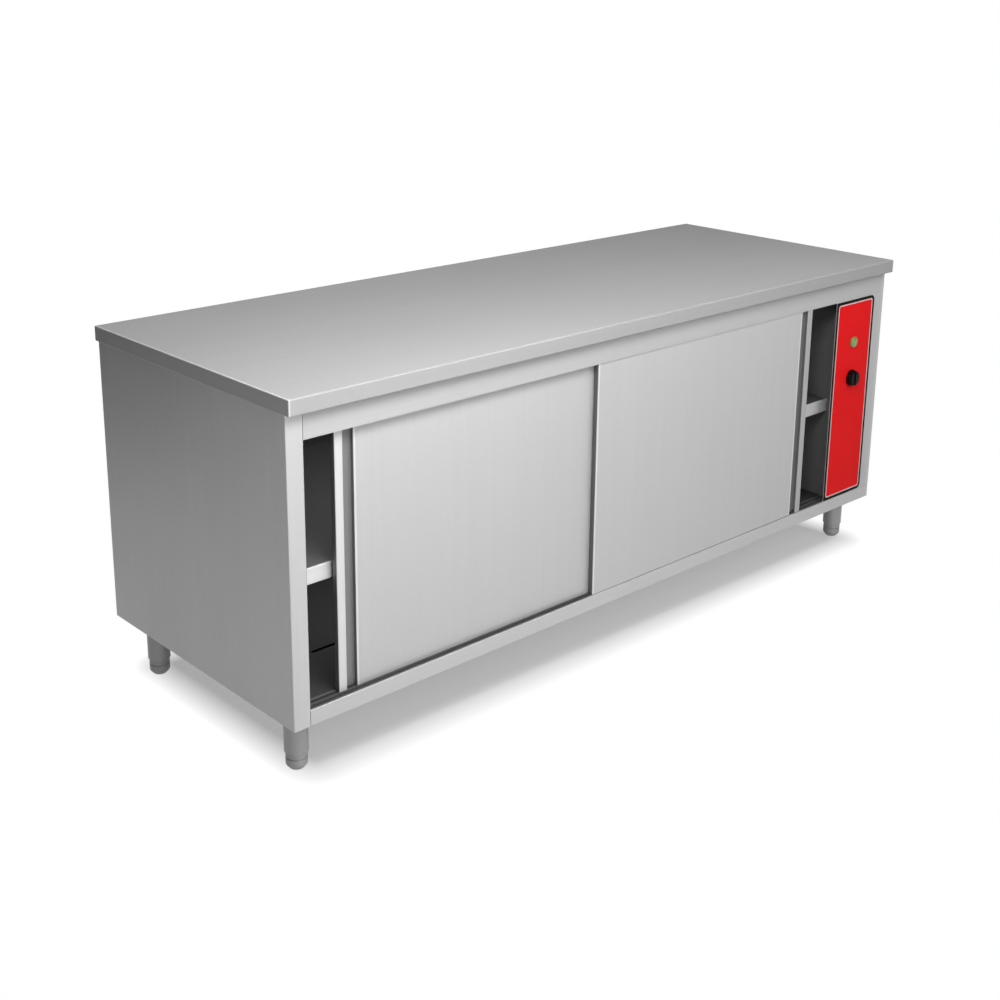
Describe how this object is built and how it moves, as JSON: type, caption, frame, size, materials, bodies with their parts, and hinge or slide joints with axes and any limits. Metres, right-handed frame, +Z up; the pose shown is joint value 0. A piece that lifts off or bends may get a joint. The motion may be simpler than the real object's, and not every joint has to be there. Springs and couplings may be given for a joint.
{
  "type": "heated plate cabinet",
  "caption": "Long stainless plate warmer with two overlapping sliding doors on rollers, a middle shelf, a thermostat panel at the right and adjustable round legs.",
  "frame": {"origin": "on the floor under the middle of the countertop", "axes": "+X to the right as seen from the front, +Y to the back, +Z up"},
  "size_m": [2, 0.74, 0.82],
  "materials": {
    "door_steel": "satin stainless sheet, grain along the height",
    "body_steel": "satin stainless sheet, grain along the length",
    "chamber_steel": "satin stainless sheet, in shade",
    "zinc_steel": "zinc plated steel sheet",
    "track_aluminium": "extruded, plain",
    "nylon": "natural nylon",
    "rubber": "matt black",
    "heater_sheath": "oxidised steel sheath",
    "screw_steel": "bright stainless",
    "label_print": "red printed field with a black border",
    "knob_plastic": "black, moulded",
    "switch_plastic": "pale moulding",
    "sensor_metal": "bare copper tube",
    "lamp_chrome": "plated",
    "lamp_lens": "pale green lens",
    "gland_plastic": "black nylon",
    "leg_steel": "satin stainless tube",
    "foot_steel": "satin stainless cup"
  },
  "bodies": {
    "cabinet": {"back_inner_wall": "chamber_steel", "back_panel": "body_steel", "bottom_pan": "body_steel", "bottom_rail": "body_steel", "bulb_clips": "zinc_steel", "cable_gland": "gland_plastic", "ceiling_panel": "chamber_steel", "control_label": "label_print", "control_plate": "body_steel", "control_wall": "chamber_steel", "countertop": "body_steel", "door_buffers": "rubber", "door_track": "track_aluminium", "element_clips": "zinc_steel", "floor_tray": "chamber_steel", "front_fascia": "body_steel", "heating_elements": "heater_sheath", "left_inner_wall": "chamber_steel", "left_side_panel": "body_steel", "leg_back_left": "leg_steel", "leg_back_right": "leg_steel", "leg_front_left": "leg_steel", "leg_front_right": "leg_steel", "leg_inserts": "zinc_steel", "lower_guide_fins": "chamber_steel", "middle_shelf": "chamber_steel", "pilot_lamp_bezel": "lamp_chrome", "pilot_lamp_lens": "lamp_lens", "pilot_lamp_nut": "lamp_chrome", "right_side_panel": "body_steel", "sensor_bulb": "sensor_metal", "sensor_capillary": "sensor_metal", "shelf_rib": "zinc_steel", "shelf_supports": "chamber_steel", "terminal_block": "switch_plastic", "thermostat_body": "switch_plastic", "top_stiffeners": "zinc_steel", "track_screws": "screw_steel"},
    "front_door": {"front_door_skin": "door_steel", "front_door_handle": "door_steel", "front_door_back": "door_steel", "front_door_guide_shoe": "nylon", "front_door_carrier": "zinc_steel", "front_door_hangers": "zinc_steel"},
    "front_door_inner_roller": {"front_door_inner_roller": "nylon"},
    "front_door_outer_roller": {"front_door_outer_roller": "nylon"},
    "rear_door": {"rear_door_skin": "door_steel", "rear_door_handle": "door_steel", "rear_door_back": "door_steel", "rear_door_guide_shoe": "nylon", "rear_door_carrier": "zinc_steel", "rear_door_hangers": "zinc_steel"},
    "rear_door_inner_roller": {"rear_door_inner_roller": "nylon"},
    "rear_door_outer_roller": {"rear_door_outer_roller": "nylon"},
    "thermostat_knob": {"thermostat_knob": "knob_plastic", "thermostat_shaft": "screw_steel"},
    "foot_front_left": {"foot_front_left": "foot_steel"},
    "foot_front_right": {"foot_front_right": "foot_steel"},
    "foot_back_left": {"foot_back_left": "foot_steel"},
    "foot_back_right": {"foot_back_right": "foot_steel"}
  },
  "joints": [
    {"name": "front_door_slide", "type": "slide", "parent": "cabinet", "child": "front_door", "axis": [1, 0, 0], "range_m": [-0.805, 0.121]},
    {"name": "rear_door_slide", "type": "slide", "parent": "cabinet", "child": "rear_door", "axis": [1, 0, 0], "range_m": [-0.0795, 0.7145]},
    {"name": "front_door_inner_roller_spin", "type": "hinge", "parent": "front_door", "child": "front_door_inner_roller", "pos_m": [-0.045, -0.3423, 0.7528], "axis": [0, 1, 0], "range_deg": [-4615, 696]},
    {"name": "front_door_outer_roller_spin", "type": "hinge", "parent": "front_door", "child": "front_door_outer_roller", "pos_m": [0.569, -0.3423, 0.7528], "axis": [0, 1, 0], "range_deg": [-4615, 696]},
    {"name": "rear_door_inner_roller_spin", "type": "hinge", "parent": "rear_door", "child": "rear_door_inner_roller", "pos_m": [-0.0245, -0.3263, 0.7528], "axis": [0, 1, 0], "range_deg": [-459, 4097]},
    {"name": "rear_door_outer_roller_spin", "type": "hinge", "parent": "rear_door", "child": "rear_door_outer_roller", "pos_m": [-0.7705, -0.3263, 0.7528], "axis": [0, 1, 0], "range_deg": [-459, 4097]},
    {"name": "thermostat_turn", "type": "hinge", "parent": "cabinet", "child": "thermostat_knob", "pos_m": [0.8635, -0.36, 0.506], "axis": [0, 1, 0], "range_deg": [0, 300]},
    {"name": "foot_front_left_adjust", "type": "slide", "parent": "cabinet", "child": "foot_front_left", "axis": [0, 0, -1], "range_m": [0, 0.03]},
    {"name": "foot_front_right_adjust", "type": "slide", "parent": "cabinet", "child": "foot_front_right", "axis": [0, 0, -1], "range_m": [0, 0.03]},
    {"name": "foot_back_left_adjust", "type": "slide", "parent": "cabinet", "child": "foot_back_left", "axis": [0, 0, -1], "range_m": [0, 0.03]},
    {"name": "foot_back_right_adjust", "type": "slide", "parent": "cabinet", "child": "foot_back_right", "axis": [0, 0, -1], "range_m": [0, 0.03]}
  ],
  "couplings": [
    {"joint": "front_door_inner_roller_spin", "follows": "front_door_slide", "rad_per_m": 100},
    {"joint": "front_door_outer_roller_spin", "follows": "front_door_slide", "rad_per_m": 100},
    {"joint": "rear_door_inner_roller_spin", "follows": "rear_door_slide", "rad_per_m": 100},
    {"joint": "rear_door_outer_roller_spin", "follows": "rear_door_slide", "rad_per_m": 100}
  ]
}
